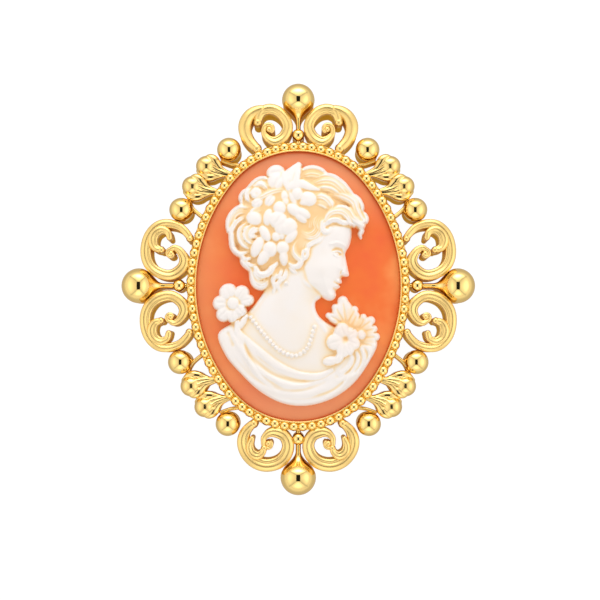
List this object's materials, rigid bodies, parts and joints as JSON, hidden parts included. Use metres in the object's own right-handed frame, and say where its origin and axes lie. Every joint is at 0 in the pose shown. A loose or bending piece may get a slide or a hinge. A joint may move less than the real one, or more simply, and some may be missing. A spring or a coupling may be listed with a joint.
{
  "type": "cameo brooch",
  "caption": "Oval carved cameo of a woman's bust in a beaded bezel with a pierced border of scrolls, balls and leaf buds, with a pin across the back.",
  "frame": {"origin": "the middle of the oval, on the floor plane that the pin's lowest line touches when the brooch lies on its back", "axes": "+Z out of the cameo's face, +Y to the brooch's top, +X to the viewer's right"},
  "size_m": [0.0514, 0.0599, 0.008],
  "materials": {
    "gold": "polished yellow gold colour",
    "shell_ground": "polished orange shell",
    "shell_relief": "smooth carved ivory white shell"
  },
  "bodies": {
    "root": {"gold_frame": "gold", "cameo_ground": "shell_ground", "cameo_relief": "shell_relief", "pin_clasp": "gold"}
  },
  "joints": []
}
